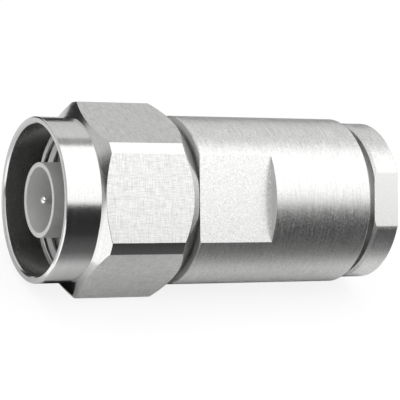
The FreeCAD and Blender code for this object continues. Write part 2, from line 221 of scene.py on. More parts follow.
def round_with_flats(flats, reach, elevation, flat_steps, round_steps):
    """Angles round the axis in radians, and at each the angle from the middle of its flat.

    Angle 0 is +Y and a quarter turn is +Z. Reach is half of the angle that a flat covers, and
    elevation is how far the flat on the near side looks up."""
    share = 2 * math.pi / flats
    on_flat = np.linspace(-reach, reach, flat_steps + 1)
    off_flat = np.linspace(reach, share - reach, round_steps + 1)[1:-1]
    middle = math.pi - elevation
    around = [middle + i * share + np.concatenate([on_flat, off_flat]) for i in range(flats)]
    offset = np.concatenate([on_flat, np.full(len(off_flat), np.inf)])
    return np.concatenate(around), np.tile(offset, flats)


def flat_radius(offset, half_across):
    """Distance from the axis to a flat's plane at each angle, without end where there is no flat."""
    on_flat = np.isfinite(offset)
    return np.where(on_flat, half_across / np.cos(np.where(on_flat, offset, 0)), np.inf)


print("angles on a plain round:", ROUND_STEPS)

# %% [markdown]
# Faces that meet at less than SHARP_FROM are only steps of a round, and are shaded smooth. All other
# edges are real ones. On a real piece they are never quite sharp: the file and the plating round them
# by a few hundredths of a millimetre. Such a round could be drawn as one more ring, but a Bevel
# modifier finds every edge by itself, also the curved ones where a flat starts.

# %% Edges and shading
SHARP_FROM = math.radians(24)
EASE_MM = 0.04


def smooth_piece(name, mesh, merge_mm=0):
    """An object of the mesh with its faces outwards, shaded smooth except at its real edges."""
    shape = bmesh.new()
    shape.from_mesh(mesh)
    if merge_mm:
        bmesh.ops.remove_doubles(shape, verts=shape.verts, dist=merge_mm * MM)
    bmesh.ops.recalc_face_normals(shape, faces=shape.faces)
    shape.to_mesh(mesh)
    shape.free()
    mesh.shade_smooth()
    mesh.set_sharp_from_angle(angle=SHARP_FROM)
    piece = bpy.data.objects.new(name, mesh)
    bpy.context.collection.objects.link(piece)
    return piece


def ease_edges(piece, width_mm=EASE_MM):
    """Sharp edges get the small round that a file or the plating leaves on them."""
    bevel = piece.modifiers.new("eased_edges", "BEVEL")
    bevel.width = width_mm * MM
    bevel.segments = 2
    bevel.limit_method = "ANGLE"
    bevel.angle_limit = SHARP_FROM
    bevel.harden_normals = True


print("edges are eased by", EASE_MM, "mm")

# %% [markdown]
# The mesh of a turned piece is a stack of rings, each joined to the next. Blender could loft it from
# curves, but then the points would fall where the curves put them. It is written point by point, so
# that every ring can have the radius that it needs at each angle. Points that fall together are merged.

# %% Turned pieces
MERGE_MM = 0.002
ON_FLATS, ALL_ROUND = 1, 2


def turned_piece(name, angles, rings, materials, solid=False):
    """A mesh from rings, each a station along X and a radius in millimetres, for all angles or for each.

    The rings go once round the outline, or for a solid piece from its tip on the axis to its rear.
    A third entry is the number of another material for the surface from a ring to the next one. The
    second material, ON_FLATS, covers only its flats, and the third, ALL_ROUND, covers all of it."""
    around, offset = angles
    count = len(around)
    points, faces, marks = [], [], []
    for ring in rings:
        x, r = (np.broadcast_to(given, count) for given in ring[:2])
        points += list(zip(x * MM, r * np.cos(around) * MM, r * np.sin(around) * MM))
    for k in range(len(rings) - 1 if solid else len(rings)):
        finish = rings[k][2] if len(rings[k]) > 2 else 0
        here, there = k * count, (k + 1) % len(rings) * count
        for i in range(count):
            j = (i + 1) % count
            faces.append((here + i, here + j, there + j, there + i))
            on_flat = np.isfinite(offset[[i, j]]).all()
            marks.append(finish if on_flat or finish == ALL_ROUND else 0)
    mesh = bpy.data.meshes.new(name)
    mesh.from_pydata([tuple(float(v) for v in point) for point in points], [], faces)
    for material in materials:
        mesh.materials.append(material)
    mesh.polygons.foreach_set("material_index", np.array(marks, dtype=np.int32))
    return smooth_piece(name, mesh, MERGE_MM)


print("points closer than", MERGE_MM, "mm are merged")

# %% [markdown]
# The coupling nut carries a bright plate. Its turned rounds mirror the room in clear bands, its milled
# flats are evenly bright, and the wall of its mouth is darker than both. That is partly because it mirrors
# the dark inside of the nut, and partly painted shade in its colour. One material with a mask could do
# that. Three materials are plainer, and each can be named for the tool that made it.

# %% Finishes of the coupling nut
# Bright plate on fine turning: the nut mirrors the room in clear bands with hardly blurred edges.
bright_turned_nickel = plated("bright_turned_nickel", "#BEBEBD", "#D6D6D5", 0.17, 0.12, 6, 0.0004)
# The mouth was bored with a fine tool: its wall mirrors the dark inside of the nut and its thread.
# Its colour is also darker than the nickel's own, as painted shade for the deep mouth.
bored_nickel = plated("bored_nickel", "#8E8E8D", "#9C9C9B", 0.24, 0.12, 6, 0.0002)
# The hexagon was milled before it was plated: its flats are evenly bright, with fine crossed strokes.
milled_nickel = plated("milled_nickel", "#A3A3A2", "#E3E3E2", 0.22, 0.1, 1, 0.002, crossed=True)
nut_finishes = [bright_turned_nickel, milled_nickel, bored_nickel]
print("finishes of the nut:", [finish.name for finish in nut_finishes])

# %% [markdown]
# The coupling nut is a round collar and a hexagon in one piece. The bar is only a little wider than the
# flats, so six narrow round lands stay between them. Both ends of the hexagon are chamfered on the
# lathe: the front at 30 degrees from the face, the rear at 45. A six-sided cylinder cut by two cones
# would give the same shape. With rings it takes no cut: where a chamfer meets a flat, the edge is a
# curve, and the radius at each angle gives its station.

# %% Sizes of the coupling nut
nut_low, nut_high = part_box("coupling_nut")
NUT_FRONT, NUT_REAR = nut_low[0] / MM, nut_high[0] / MM
HALF_HEXAGON = -nut_low[2] / MM
RING_RADIUS, RING_END = 8.925, 3.25
LAND_RADIUS, NUT_REAR_RADIUS = 10.6, 8.35
HEXAGON_ELEVATION = math.radians(30)
FRONT_CHAMFER = math.tan(math.radians(30))
LAND_END = NUT_REAR - (LAND_RADIUS - NUT_REAR_RADIUS)
EDGE, NUT_EASE_MM = 0.12, 0.05
MOUTH_RADIUS, MOUTH_END, MOUTH_LEAD = 8.15, 3.3, 0.2
THREAD_ROOT, THREAD_CREST = 7.94, 7.4
THREAD_START, THREAD_END = MOUTH_END + EDGE, 9.2
RELIEF_RADIUS, RELIEF_END = 8.1, 11.5
LIP_RADIUS, LIP_END = 6.95, 12.1
GROOVE_RADIUS, GROOVE_END = 7.7, 13.2
print("hexagon", 2 * HALF_HEXAGON, "mm across flats, lands", 2 * LAND_RADIUS, "mm")

# %% [markdown]
# The outline starts at the mouth and runs back over the collar and the hexagon to the rear face. It
# returns through the lip that the retaining ring holds, the relief groove and the thread's root. A
# curve could hold this outline, but a list of stations and radii reads like a turner's drawing.

# %% Coupling nut
hexagon = round_with_flats(6, math.acos(HALF_HEXAGON / LAND_RADIUS), HEXAGON_ELEVATION,
                           flat_steps=24, round_steps=5)
hexagon_radius = np.minimum(flat_radius(hexagon[1], HALF_HEXAGON), LAND_RADIUS)
nut_rings = [
    (NUT_FRONT, MOUTH_RADIUS + MOUTH_LEAD),
    (NUT_FRONT, RING_RADIUS - EDGE),
    (NUT_FRONT + EDGE, RING_RADIUS),
    (RING_END, RING_RADIUS),
    (RING_END + (hexagon_radius - RING_RADIUS) * FRONT_CHAMFER, hexagon_radius, ON_FLATS),
    (LAND_END + LAND_RADIUS - hexagon_radius, hexagon_radius),
    (NUT_REAR, NUT_REAR_RADIUS),
    (NUT_REAR, LIP_RADIUS),
    (GROOVE_END, LIP_RADIUS),
    (GROOVE_END, GROOVE_RADIUS),
    (LIP_END, GROOVE_RADIUS),
    (LIP_END, LIP_RADIUS),
    (RELIEF_END, LIP_RADIUS),
    (RELIEF_END, RELIEF_RADIUS),
    (THREAD_END, RELIEF_RADIUS),
    (THREAD_END, THREAD_ROOT),
    (THREAD_START, THREAD_ROOT),
    (MOUTH_END, MOUTH_RADIUS, ALL_ROUND),
    (NUT_FRONT + MOUTH_LEAD, MOUTH_RADIUS),
]
nut = turned_piece("nut_turned", hexagon, nut_rings, nut_finishes)
ease_edges(nut, NUT_EASE_MM)
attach(nut, "coupling")
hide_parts("coupling_nut")
print("coupling nut:", len(nut.data.polygons), "faces")

# %% [markdown]
# The shell was plated satin, so its highlights are wider and softer than those of the nut. A single
# satin material would make it look like cast metal. What tells the eye that it was turned and milled
# is that each surface keeps the marks of its own tool.

# %% Finishes of the shell
# Satin plate on turning: highlights spread into soft bands, with faint streaks round the axis.
satin_turned_nickel = plated("satin_turned_nickel", "#B3B3B2", "#EFEFEE", 0.4, 0.1, 2.2, 0.003)
# Satin plate on milled flats: pale and speckled, they mirror a wall beside them as a soft shadow.
satin_milled_nickel = plated("satin_milled_nickel", "#B6B6B5", "#FFFFFE", 0.37, 0.16, 0.16, 0.006)
# Faces that a tool's side cut square to the axis stay dull: they show one even grey.
faced_nickel = plated("faced_nickel", "#CCCCCB", "#DADAD9", 0.6, 0.1, 0.6, 0.001)
shell_finishes = [satin_turned_nickel, satin_milled_nickel, faced_nickel]
print("finishes of the shell:", [finish.name for finish in shell_finishes])

# %% [markdown]
# The shell is a plain cylinder with two spanner flats near its front. The milling cutter that made them
# had sharp corners, so each flat ends in a square wall. The flat is smooth enough to mirror that wall
# dimly, and this is why it darkens towards its end. A block could cut the flats out of a cylinder, but
# here the rings stop at the flat's plane, and the wall is one more ring at the same station.

# %% Sizes of the body shell
shell_low, shell_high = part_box("body_shell")
NECK_FRONT, SHELL_REAR = shell_low[0] / MM, shell_high[0] / MM
SHELL_RADIUS = shell_high[1] / MM
SHOULDER, NECK_RADIUS = 15.25, 6.9
HALF_SHELL_FLATS, SHELL_FLATS_END = 8.0, 24.0
SHELL_ELEVATION = math.radians(30)
SNAP_GROOVE, SNAP_FLOOR = (12.15, 13.15), 6.3
SEAL_GROOVE, SEAL_FLOOR = (14.0, 14.9), 6.1
SEAT_RADIUS, SEAT_END = 5.0, 13.5
INSULATOR_RADIUS, LEDGE = 4.6, 21.0
STACK_RADIUS, CLAMP_THREAD_START, CLAMP_THREAD_END = 7.2, 25.0, 34.6
CLAMP_THREAD_ROOT, SEAL_BORE_RADIUS = 7.75, 7.45
REAR_EDGE = 0.2
print("shell", 2 * SHELL_RADIUS, "mm thick,", 2 * HALF_SHELL_FLATS, "mm across its flats")

# %% [markdown]
# The shell's outline runs over the neck, with one groove for the retaining ring and one for the seal,
# then over the shoulder and the flats to the rear. It returns through the bore, which has steps for
# the clamp and the insulators. A solid block would look the same from outside. The bore is drawn
# because the clamp nut unscrews, and one then looks into the shell.

# %% Body shell
shell_reach = math.acos(HALF_SHELL_FLATS / SHELL_RADIUS)
shell_round = round_with_flats(2, shell_reach, SHELL_ELEVATION, flat_steps=40, round_steps=64)
shell_flat = flat_radius(shell_round[1], HALF_SHELL_FLATS)
shell_front = np.minimum(shell_flat, SHELL_RADIUS - EDGE)
shell_edge = np.minimum(shell_flat, SHELL_RADIUS)
shell_rings = [
    (NECK_FRONT, SEAT_RADIUS),
    (NECK_FRONT, NECK_RADIUS - EDGE),
    (NECK_FRONT + EDGE, NECK_RADIUS),
    (SNAP_GROOVE[0], NECK_RADIUS),
    (SNAP_GROOVE[0], SNAP_FLOOR),
    (SNAP_GROOVE[1], SNAP_FLOOR),
    (SNAP_GROOVE[1], NECK_RADIUS),
    (SEAL_GROOVE[0], NECK_RADIUS),
    (SEAL_GROOVE[0], SEAL_FLOOR),
    (SEAL_GROOVE[1], SEAL_FLOOR),
    (SEAL_GROOVE[1], NECK_RADIUS),
    (SHOULDER, NECK_RADIUS, ALL_ROUND),
    (SHOULDER, shell_front),
    (SHOULDER + shell_edge - shell_front, shell_edge, ON_FLATS),
    (SHELL_FLATS_END, shell_edge, ALL_ROUND),
    (SHELL_FLATS_END, SHELL_RADIUS),
    (SHELL_REAR - REAR_EDGE, SHELL_RADIUS),
    (SHELL_REAR, SHELL_RADIUS - REAR_EDGE, ALL_ROUND),
    (SHELL_REAR, SEAL_BORE_RADIUS),
    (CLAMP_THREAD_END, SEAL_BORE_RADIUS),
    (CLAMP_THREAD_END, CLAMP_THREAD_ROOT),
    (CLAMP_THREAD_START, CLAMP_THREAD_ROOT),
    (CLAMP_THREAD_START, STACK_RADIUS),
    (LEDGE, STACK_RADIUS),
    (LEDGE, INSULATOR_RADIUS),
    (SEAT_END, INSULATOR_RADIUS),
    (SEAT_END, SEAT_RADIUS),
]
shell = turned_piece("shell_turned", shell_round, shell_rings, shell_finishes)
ease_edges(shell)
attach(shell, "connector_shell")
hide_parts("body_shell")
print("shell:", len(shell.data.polygons), "faces")

# %% [markdown]
# The clamp nut screws into the rear of the shell and squeezes the gasket round the cable. Only its
# head shows, with two flats of its own. One sees past the shell's edge to a little of its front face.
# The head alone would do for this picture. The whole outline is drawn, because the nut unscrews, and
# then its shank, its groove and its bore come into sight.

# %% Clamp nut
# The clamp nut's flats were cut finer: a smooth pale grey, nearly without speckle.
fine_milled_nickel = plated("fine_milled_nickel", "#C6C6C5", "#DADAD9", 0.3, 0.16, 0.16, 0.001)
clamp_low, clamp_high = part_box("clamp_nut")
SHANK_FRONT, CLAMP_REAR = clamp_low[0] / MM, clamp_high[0] / MM
HEAD_RADIUS = 8.85
HEAD_FRONT, HALF_HEAD_FLATS = 37.18, 8.25
HEAD_EDGE, BORE_LEAD = 0.3, 0.5
SHANK_RADIUS, SHANK_ROOT, SHANK_THREAD_END, SHANK_STEP = 7.15, 6.54, 34.2, 0.2
CABLE_RADIUS = 5.4
NUT_SEAL_GROOVE, NUT_SEAL_FLOOR = (34.63, 35.93), 6.2
CLAMP_ELEVATION = math.radians(29.5)

head_reach = math.acos(HALF_HEAD_FLATS / HEAD_RADIUS)
head_round = round_with_flats(2, head_reach, CLAMP_ELEVATION, flat_steps=24, round_steps=70)
head_flat = flat_radius(head_round[1], HALF_HEAD_FLATS)
head_radius = np.minimum(head_flat, HEAD_RADIUS)
head_front = np.minimum(head_flat, HEAD_RADIUS - HEAD_EDGE)
head_rear = np.minimum(head_flat, HEAD_RADIUS - EDGE)
clamp_rings = [
    (SHANK_FRONT, CABLE_RADIUS),
    (SHANK_FRONT, SHANK_ROOT - EDGE),
    (SHANK_FRONT + EDGE, SHANK_ROOT),
    (SHANK_THREAD_END, SHANK_ROOT),
    (SHANK_THREAD_END + SHANK_STEP, SHANK_RADIUS),
    (NUT_SEAL_GROOVE[0], SHANK_RADIUS),
    (NUT_SEAL_GROOVE[0], NUT_SEAL_FLOOR),
    (NUT_SEAL_GROOVE[1], NUT_SEAL_FLOOR),
    (NUT_SEAL_GROOVE[1], SHANK_RADIUS),
    (HEAD_FRONT, SHANK_RADIUS),
    (HEAD_FRONT, head_front),
    (HEAD_FRONT + head_radius - head_front, head_radius, ON_FLATS),
    (CLAMP_REAR - (head_radius - head_rear), head_radius),
    (CLAMP_REAR, head_rear),
    (CLAMP_REAR, CABLE_RADIUS + BORE_LEAD),
    (CLAMP_REAR - BORE_LEAD, CABLE_RADIUS),
]
clamp = turned_piece("clamp_nut_turned", head_round, clamp_rings, [satin_turned_nickel, fine_milled_nickel])
ease_edges(clamp)
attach(clamp, "cable_clamp_nut")
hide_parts("clamp_nut")
print("clamp nut:", len(clamp.data.polygons), "faces")

# %% [markdown]
# A thread is one ridge that follows a helix. A Screw modifier could draw it, but not its slanting
# start. So Geometry Nodes draw the helix as a spiral about Z, and sweep the ridge's section along it.
# The same nodes make a ridge that points inwards, as in a nut, or outwards, as on a bolt: the crest is
# only nearer to the axis or further from it than the root.

# %% Ridge of a thread
STEPS_A_TURN = 72


def ridge_section(tree, given):
    """The ridge's section as a closed curve, with its foot on the helix and its crest along X."""
    reach = add(tree, "ShaderNodeMath", {
        "Value": given["Crest Radius"], "Value_001": given["Root Radius"]}, operation="SUBTRACT")
    corners = {}
    for number, width, side in ((1, "Root Width", -0.5), (2, "Crest Width", -0.5),
                                (3, "Crest Width", 0.5), (4, "Root Width", 0.5)):
        out = add(tree, "ShaderNodeMath", {
            "Value": given[width], "Value_001": side}, operation="MULTIPLY").outputs["Value"]
        rise = reach.outputs["Value"] if width == "Crest Width" else 0
        corner = add(tree, "ShaderNodeCombineXYZ", {"X": rise, "Y": out})
        corners[f"Point {number}"] = corner.outputs["Vector"]
    return add(tree, "GeometryNodeCurvePrimitiveQuadrilateral", corners, mode="POINTS").outputs["Curve"]


def swept_ridge(tree, given):
    """The ridge on a helix that climbs along Z from height 0."""
    turns = add(tree, "ShaderNodeMath", {
        "Value": given["Length"], "Value_001": given["Pitch"]}, operation="DIVIDE").outputs["Value"]
    helix = add(tree, "GeometryNodeCurveSpiral", {
        "Resolution": STEPS_A_TURN, "Reverse": True, "Rotations": turns, "Height": given["Length"],
        "Start Radius": given["Root Radius"], "End Radius": given["Root Radius"]})
    level = add(tree, "GeometryNodeSetCurveNormal", {"Curve": helix.outputs["Curve"]}, mode="Z_UP")
    ridge = add(tree, "GeometryNodeCurveToMesh", {
        "Fill Caps": True, "Curve": level.outputs["Curve"], "Profile Curve": ridge_section(tree, given)})
    return ridge.outputs["Mesh"]


print("steps in a turn of thread:", STEPS_A_TURN)

# %% [markdown]
# Where a thread starts, a cone was turned first, and it cuts the ridge off at a slant. A boolean cut
# could do that, but it is slow on so fine a mesh. Here no point of the ridge may rise higher than the
# cone lets it at that station. Heights count from 0 at the root to 1 at the crest. A point that has to
# go below the root sinks no further than BURIED, which is deep enough to hide it in the wall.

# %% Start of a thread
BURIED = -0.6


def cut_by_cone(tree, given, ridge):
    """The ridge, cut off by the cone that rises from Lead Start to Lead End."""
    place = add(tree, "GeometryNodeInputPosition").outputs["Position"]
    axes = add(tree, "ShaderNodeSeparateXYZ", {"Vector": place}).outputs
    across = add(tree, "ShaderNodeCombineXYZ", {"X": axes["X"], "Y": axes["Y"]}).outputs["Vector"]
    radius = add(tree, "ShaderNodeVectorMath", {"Vector": across}, operation="LENGTH").outputs["Value"]
    rise = add(tree, "ShaderNodeMapRange", {
        "Value": radius, "From Min": given["Root Radius"], "From Max": given["Crest Radius"]}, clamp=False)
    allowed = add(tree, "ShaderNodeMapRange", {
        "Value": axes["Z"], "From Min": given["Lead Start"], "From Max": given["Lead End"]}, clamp=False)
    lower = add(tree, "ShaderNodeMath", {
        "Value": rise.outputs["Result"], "Value_001": allowed.outputs["Result"]}, operation="MINIMUM")
    kept = add(tree, "ShaderNodeMath", {
        "Value": lower.outputs["Value"], "Value_001": BURIED}, operation="MAXIMUM")
    kept_radius = add(tree, "ShaderNodeMapRange", {
        "Value": kept.outputs["Value"], "To Min": given["Root Radius"],
        "To Max": given["Crest Radius"]}, clamp=False)
    shrink = add(tree, "ShaderNodeMath", {
        "Value": kept_radius.outputs["Result"], "Value_001": radius}, operation="DIVIDE").outputs["Value"]
    factors = add(tree, "ShaderNodeCombineXYZ", {"X": shrink, "Y": shrink, "Z": 1}).outputs["Vector"]
    moved = add(tree, "ShaderNodeVectorMath", {
        "Vector": place, "Vector_001": factors}, operation="MULTIPLY")
    return add(tree, "GeometryNodeSetPosition", {
        "Geometry": ridge, "Position": moved.outputs["Vector"]}).outputs["Geometry"]


print("a point below the root sinks to", BURIED, "of the ridge's height")

# %% [markdown]
# One tree of nodes serves every thread of the plug, because they differ only in a few sizes. It turns
# the cut ridge from Z to the plug's own axis, moves it to its start and gives it its metal.

# %% Thread tree
def thread_tree():
    """A node group that makes the ridge of a right-handed thread along X from its named inputs."""
    tree = bpy.data.node_groups.new("thread_ridge", "GeometryNodeTree")
    tree.interface.new_socket("Ridge", in_out="OUTPUT", socket_type="NodeSocketGeometry")
    for name in ("Start", "Length", "Pitch", "Root Radius", "Crest Radius", "Root Width", "Crest Width",
                 "Lead Start", "Lead End"):
        tree.interface.new_socket(name, in_out="INPUT", socket_type="NodeSocketFloat")
    tree.interface.new_socket("Metal", in_out="INPUT", socket_type="NodeSocketMaterial")
    given = tree.nodes.new("NodeGroupInput").outputs
    ridge = cut_by_cone(tree, given, swept_ridge(tree, given))
    start = add(tree, "ShaderNodeCombineXYZ", {"X": given["Start"]}).outputs["Vector"]
    turned = add(tree, "GeometryNodeTransform", {
        "Rotation": (0, math.pi / 2, 0), "Geometry": ridge, "Translation": start})
    real = add(tree, "GeometryNodeRealizeInstances", {"Geometry": turned.outputs["Geometry"]})
    painted = add(tree, "GeometryNodeSetMaterial", {
        "Geometry": real.outputs["Geometry"], "Material": given["Metal"]})
    add(tree, "NodeGroupOutput", {"Ridge": painted.outputs["Geometry"]})
    return tree


ridge_tree = thread_tree()
print("thread tree:", len(ridge_tree.nodes), "nodes")

# %% [markdown]
# The coupling thread has 24 turns to the inch, and the two threads of the clamp have a pitch of 1 mm.
# All have flanks at 60 degrees to each other. A ridge's width at its root could be measured, but the
# slope of the flanks gives it exactly. Each size goes to the input of the tree that has its name.

# %% Sizes of a thread
# Threads are torn more than cut, so their flanks catch the light without mirroring anything.
cut_thread_nickel = plated("cut_thread_nickel", "#CACAC9", "#D8D8D7", 0.55, 0.1, 3, 0.001)
INCH_PITCH = 25.4 / 24
CLAMP_PITCH = 1.0
FLANK = math.tan(math.radians(30))
INTO_WALL = 0.03
CONE_LENGTH = 0.3
CREST_SHARE, EARLY_SHARE = 1 / 5, 1 / 3


def thread_sizes(start, end, pitch, root, crest):
    """Inputs of the thread tree, in metres, with the ridge's foot let into the wall.

    The cone starts where the thread does, and the helix a share of a turn before it."""
    foot = root + math.copysign(INTO_WALL, root - crest)
    top = pitch * CREST_SHARE
    first = start - pitch * EARLY_SHARE
    return {"start": first * MM, "length": (end - first) * MM, "pitch": pitch * MM,
            "root_radius": foot * MM, "root_width": (top + 2 * abs(foot - crest) * FLANK) * MM,
            "crest_radius": crest * MM, "crest_width": top * MM,
            "lead_start": (start - first) * MM, "lead_end": (start - first + CONE_LENGTH) * MM,
            "metal": cut_thread_nickel}


print("a ridge of the coupling thread is", round(INCH_PITCH * CREST_SHARE, 3), "mm wide at its crest")

# %% [markdown]
# A real thread doesn't fill its wall: the tool needs room at both ends, so each ridge stops a few
# tenths of a millimetre short. The tree could stay on each piece as a modifier. It runs on a helper
# object instead, and its result is kept as a plain mesh, whose normals can then be put right.

# %% Threads
TOOL_ENTRY, TOOL_EXIT, SHELL_TOOL_EXIT = 0.6, 0.4, 0.5


def cut_thread(name, body, sizes):
    """One thread's ridge as a plain mesh that rides on a body."""
    holder = bpy.data.objects.new(f"{name}_maker", bpy.data.meshes.new(f"{name}_maker"))
    bpy.context.collection.objects.link(holder)
    maker = holder.modifiers.new("thread", "NODES")
    maker.node_group = ridge_tree
    for item in ridge_tree.interface.items_tree:
        if item.in_out == "INPUT":
            maker[item.identifier] = sizes[item.name.lower().replace(" ", "_")]
    made = holder.evaluated_get(bpy.context.evaluated_depsgraph_get())
    mesh = bpy.data.meshes.new_from_object(made)
    mesh.name = name
    bpy.data.objects.remove(holder)
    thread = smooth_piece(name, mesh)
    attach(thread, body)
    print(name, len(mesh.polygons), "faces")


cut_thread("nut_thread", "coupling", thread_sizes(
    THREAD_START, THREAD_END - TOOL_EXIT, INCH_PITCH, THREAD_ROOT, THREAD_CREST))
cut_thread("shell_thread", "connector_shell", thread_sizes(
    CLAMP_THREAD_START + TOOL_ENTRY, CLAMP_THREAD_END - SHELL_TOOL_EXIT, CLAMP_PITCH,
    CLAMP_THREAD_ROOT, STACK_RADIUS))
cut_thread("clamp_nut_thread", "cable_clamp_nut", thread_sizes(
    SHANK_FRONT + TOOL_ENTRY, SHANK_THREAD_END - TOOL_EXIT, CLAMP_PITCH, SHANK_ROOT, SHANK_RADIUS))

# %% [markdown]
# Two contacts stand in the mouth. The outer one is a plain tube, open towards the socket, with a flange
# that sits in the shell. A bare cylinder with a hole would look the same from the front. The outline
# with its flange is drawn, because the rings make it as easily, and it is then the real section.

# %% Outer contact
# White bronze is plated matt: the tube is an even grey inside and out, without highlights.
matt_white_bronze = plated("matt_white_bronze_plate", "#D0D0CF", "#DCDCDB", 0.7, 0.1, 2, 0.0006)
CONTACT_RADIUS, CONTACT_BORE, CONTACT_EDGE = 4.04, 3.5, 0.06
FLANGE, FLANGE_RADIUS = (9.4, 10.6), 5.6
contact_rings = [
    (0, CONTACT_BORE + CONTACT_EDGE),
    (0, CONTACT_RADIUS),
    (FLANGE[0], CONTACT_RADIUS),
    (FLANGE[0], FLANGE_RADIUS),
    (FLANGE[1], FLANGE_RADIUS),
    (FLANGE[1], SEAT_RADIUS),
    (SEAT_END, SEAT_RADIUS),
    (SEAT_END, CONTACT_BORE),
    (CONTACT_EDGE, CONTACT_BORE),
]
tube = turned_piece("contact_tube", plain_round(), contact_rings, [matt_white_bronze])
ease_edges(tube)
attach(tube, "connector_shell")
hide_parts("outer_contact")
print("outer contact:", len(tube.data.polygons), "faces,", 2 * CONTACT_RADIUS, "mm thick")

# %% [markdown]
# The centre contact is a thin pin with a round tip, so that it finds its way into the socket. A round
# tip always has one spot that mirrors the light, so it shows as a bright dot in the dark mouth. The
# tip is a quarter circle of rings, which starts with a point on the axis and so closes the mesh.

# %% Centre pin
# Silver is the lightest of the plates, and a clear shine makes the dot on the tip small.
silver_plate = plated("silver_plate", "#DADAD6", "#E8E8E4", 0.12, 0.1, 2, 0.0001)
pin_low, pin_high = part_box("centre_contact")
PIN_FRONT, PIN_REAR = pin_low[0] / MM, pin_high[0] / MM
PIN_RADIUS, TIP_STEPS, PIN_STEPS = 0.45, 9, 48
STEM_FRONT, STEM_RADIUS = 5.4, 1.0
COLLAR, COLLAR_RADIUS = (16.0, 17.5), 1.9
BARREL_RADIUS, SOLDER_RADIUS, SOLDER_DEPTH = 1.5, 0.7, 4
pin_rings = [(PIN_FRONT + PIN_RADIUS * (1 - math.cos(turn)), PIN_RADIUS * math.sin(turn))
             for turn in np.linspace(0, math.pi / 2, TIP_STEPS)]
pin_rings += [
    (STEM_FRONT, PIN_RADIUS),
    (STEM_FRONT, STEM_RADIUS),
    (COLLAR[0], STEM_RADIUS),
    (COLLAR[0], COLLAR_RADIUS),
    (COLLAR[1], COLLAR_RADIUS),
    (COLLAR[1], BARREL_RADIUS),
    (PIN_REAR, BARREL_RADIUS),
    (PIN_REAR, SOLDER_RADIUS),
    (PIN_REAR - SOLDER_DEPTH, SOLDER_RADIUS),
    (PIN_REAR - SOLDER_DEPTH, 0),
]
pin = turned_piece("contact_pin", plain_round(PIN_STEPS), pin_rings, [silver_plate], solid=True)
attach(pin, "connector_shell")
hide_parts("centre_contact")
print("pin:", len(pin.data.polygons), "faces")

# %% [markdown]
# Rubber and plastic have a fine even grain, from the mould or from a sharp tool. Paint on a picture
# could draw it, but noise with the same grain in all directions needs no unwrapped surface. The grain
# is a few tenths of a millimetre, and it changes the colour, the gloss and the height a little.

# %% Moulded finishes
MOULDED_SPREAD = 0.06


def moulded(name, dark, light, roughness, grain_mm, depth_mm):
    """A moulded or turned plastic or rubber, with a fine surface grain."""
    material = new_material(name)
    tree = material.node_tree
    specks = grain(tree, grain_mm, grain_mm, detail=2)
    colour = add(tree, "ShaderNodeMix", {
        "Factor_Float": between(tree, specks, 0, 1),
        "A_Color": linear(dark), "B_Color": linear(light)}, data_type="RGBA")
    relief = add(tree, "ShaderNodeBump", {"Strength": 1, "Distance": depth_mm * MM, "Height": specks})
    least, most = roughness - MOULDED_SPREAD, roughness + MOULDED_SPREAD
    skin = add(tree, "ShaderNodeBsdfPrincipled", {
        "Base Color": socket(colour.outputs, "Result_Color"),
        "Roughness": between(tree, specks, least, most), "Normal": relief.outputs["Normal"]})
    add(tree, "ShaderNodeOutputMaterial", {"Surface": skin.outputs["BSDF"]})
    return material


print("a moulded finish has its roughness within", MOULDED_SPREAD, "of the mean")

# %% [markdown]
# The pieces inside keep the frame's own shapes: hardly anything of them shows, so new meshes would
# add nothing. Each gets the material that the real one is made of. The gaskets are rubber and
# silicone, the beads are a white fluoropolymer, and the bronze ring and the brass washer are bare.

# %% Finishes of the inner pieces
# Nitrile rubber from a mould is nearly black and swallows highlights.
nitrile_rubber = moulded("moulded_nitrile_rubber", "#1B1B1C", "#272728", 0.6, 0.15, 0.004)
# Silicone rubber is a dark grey with a faint greasy shine.
grey_silicone = moulded("moulded_grey_silicone", "#48484A", "#545456", 0.5, 0.2, 0.003)
# Fluoropolymer is white, and waxy to the eye and the hand.
fluoropolymer = moulded("turned_fluoropolymer", "#E4E4E0", "#EFEFEC", 0.4, 0.12, 0.002)
# Bare brass and bronze are the only warm colours, yellow and brown.
turned_brass = plated("turned_brass", "#C0A468", "#CFB377", 0.24, 0.1, 4, 0.0006)
spring_bronze = plated("spring_bronze_strip", "#A8825A", "#B89168", 0.28, 0.15, 3, 0.0006)

inner_finishes = {
    nitrile_rubber: ("neck_seal", "cable_gasket", "clamp_nut_seal"),
    grey_silicone: ("interface_gasket",),
    fluoropolymer: ("front_insulator", "rear_insulator"),
    turned_brass: ("thrust_washer",),
    spring_bronze: ("retaining_ring",),
    satin_turned_nickel: ("braid_clamp",),
}
for material, nodes in inner_finishes.items():
    for node in nodes:
        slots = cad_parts[node].data.materials
        slots.clear()
        slots.append(material)
print("inner pieces finished:", sum(len(nodes) for nodes in inner_finishes.values()))

# %% [markdown]
# Bare metal has no look of its own: it shows what stands round it. So the light is set as for a
# photograph of cutlery, with a white table, a pale room, one large soft panel and a few cards.
# The table and the cards are flat sheets, each a mesh with one face. A plane that is moved and scaled
# would do, but four corners in millimetres say at once where a sheet begins and ends.

# %% Sheets round the plug
TABLE = cad_box[0][2]


def lying(x_from, x_to, y_from, y_to, height):
    """Corners of a level sheet, in millimetres, at a height above the table."""
    places = ((x_from, y_from), (x_to, y_from), (x_to, y_to), (x_from, y_to))
    return [(x * MM, y * MM, TABLE + height * MM) for x, y in places]


def sheet(name, corners, material):
    """A table top or card through four corners, which isn't part of the object."""
    mesh = bpy.data.meshes.new(name)
    mesh.from_pydata(corners, [], [(0, 1, 2, 3)])
    mesh.materials.append(material)
    card = bpy.data.objects.new(name, mesh)
    bpy.context.collection.objects.link(card)
    return card


print("table top at z", round(TABLE, 5), "m")

# %% [markdown]
# The table is white paper. Lit by the lamps alone it would come out grey where the light is weaker, so
# it is mixed with plain white, for the camera and the metal alike. Only the object's shadow is left.

# %% Table
HALF_TABLE = 3000
WHITE = (1, 1, 1, 1)
WHITE_SHARE = 0.85

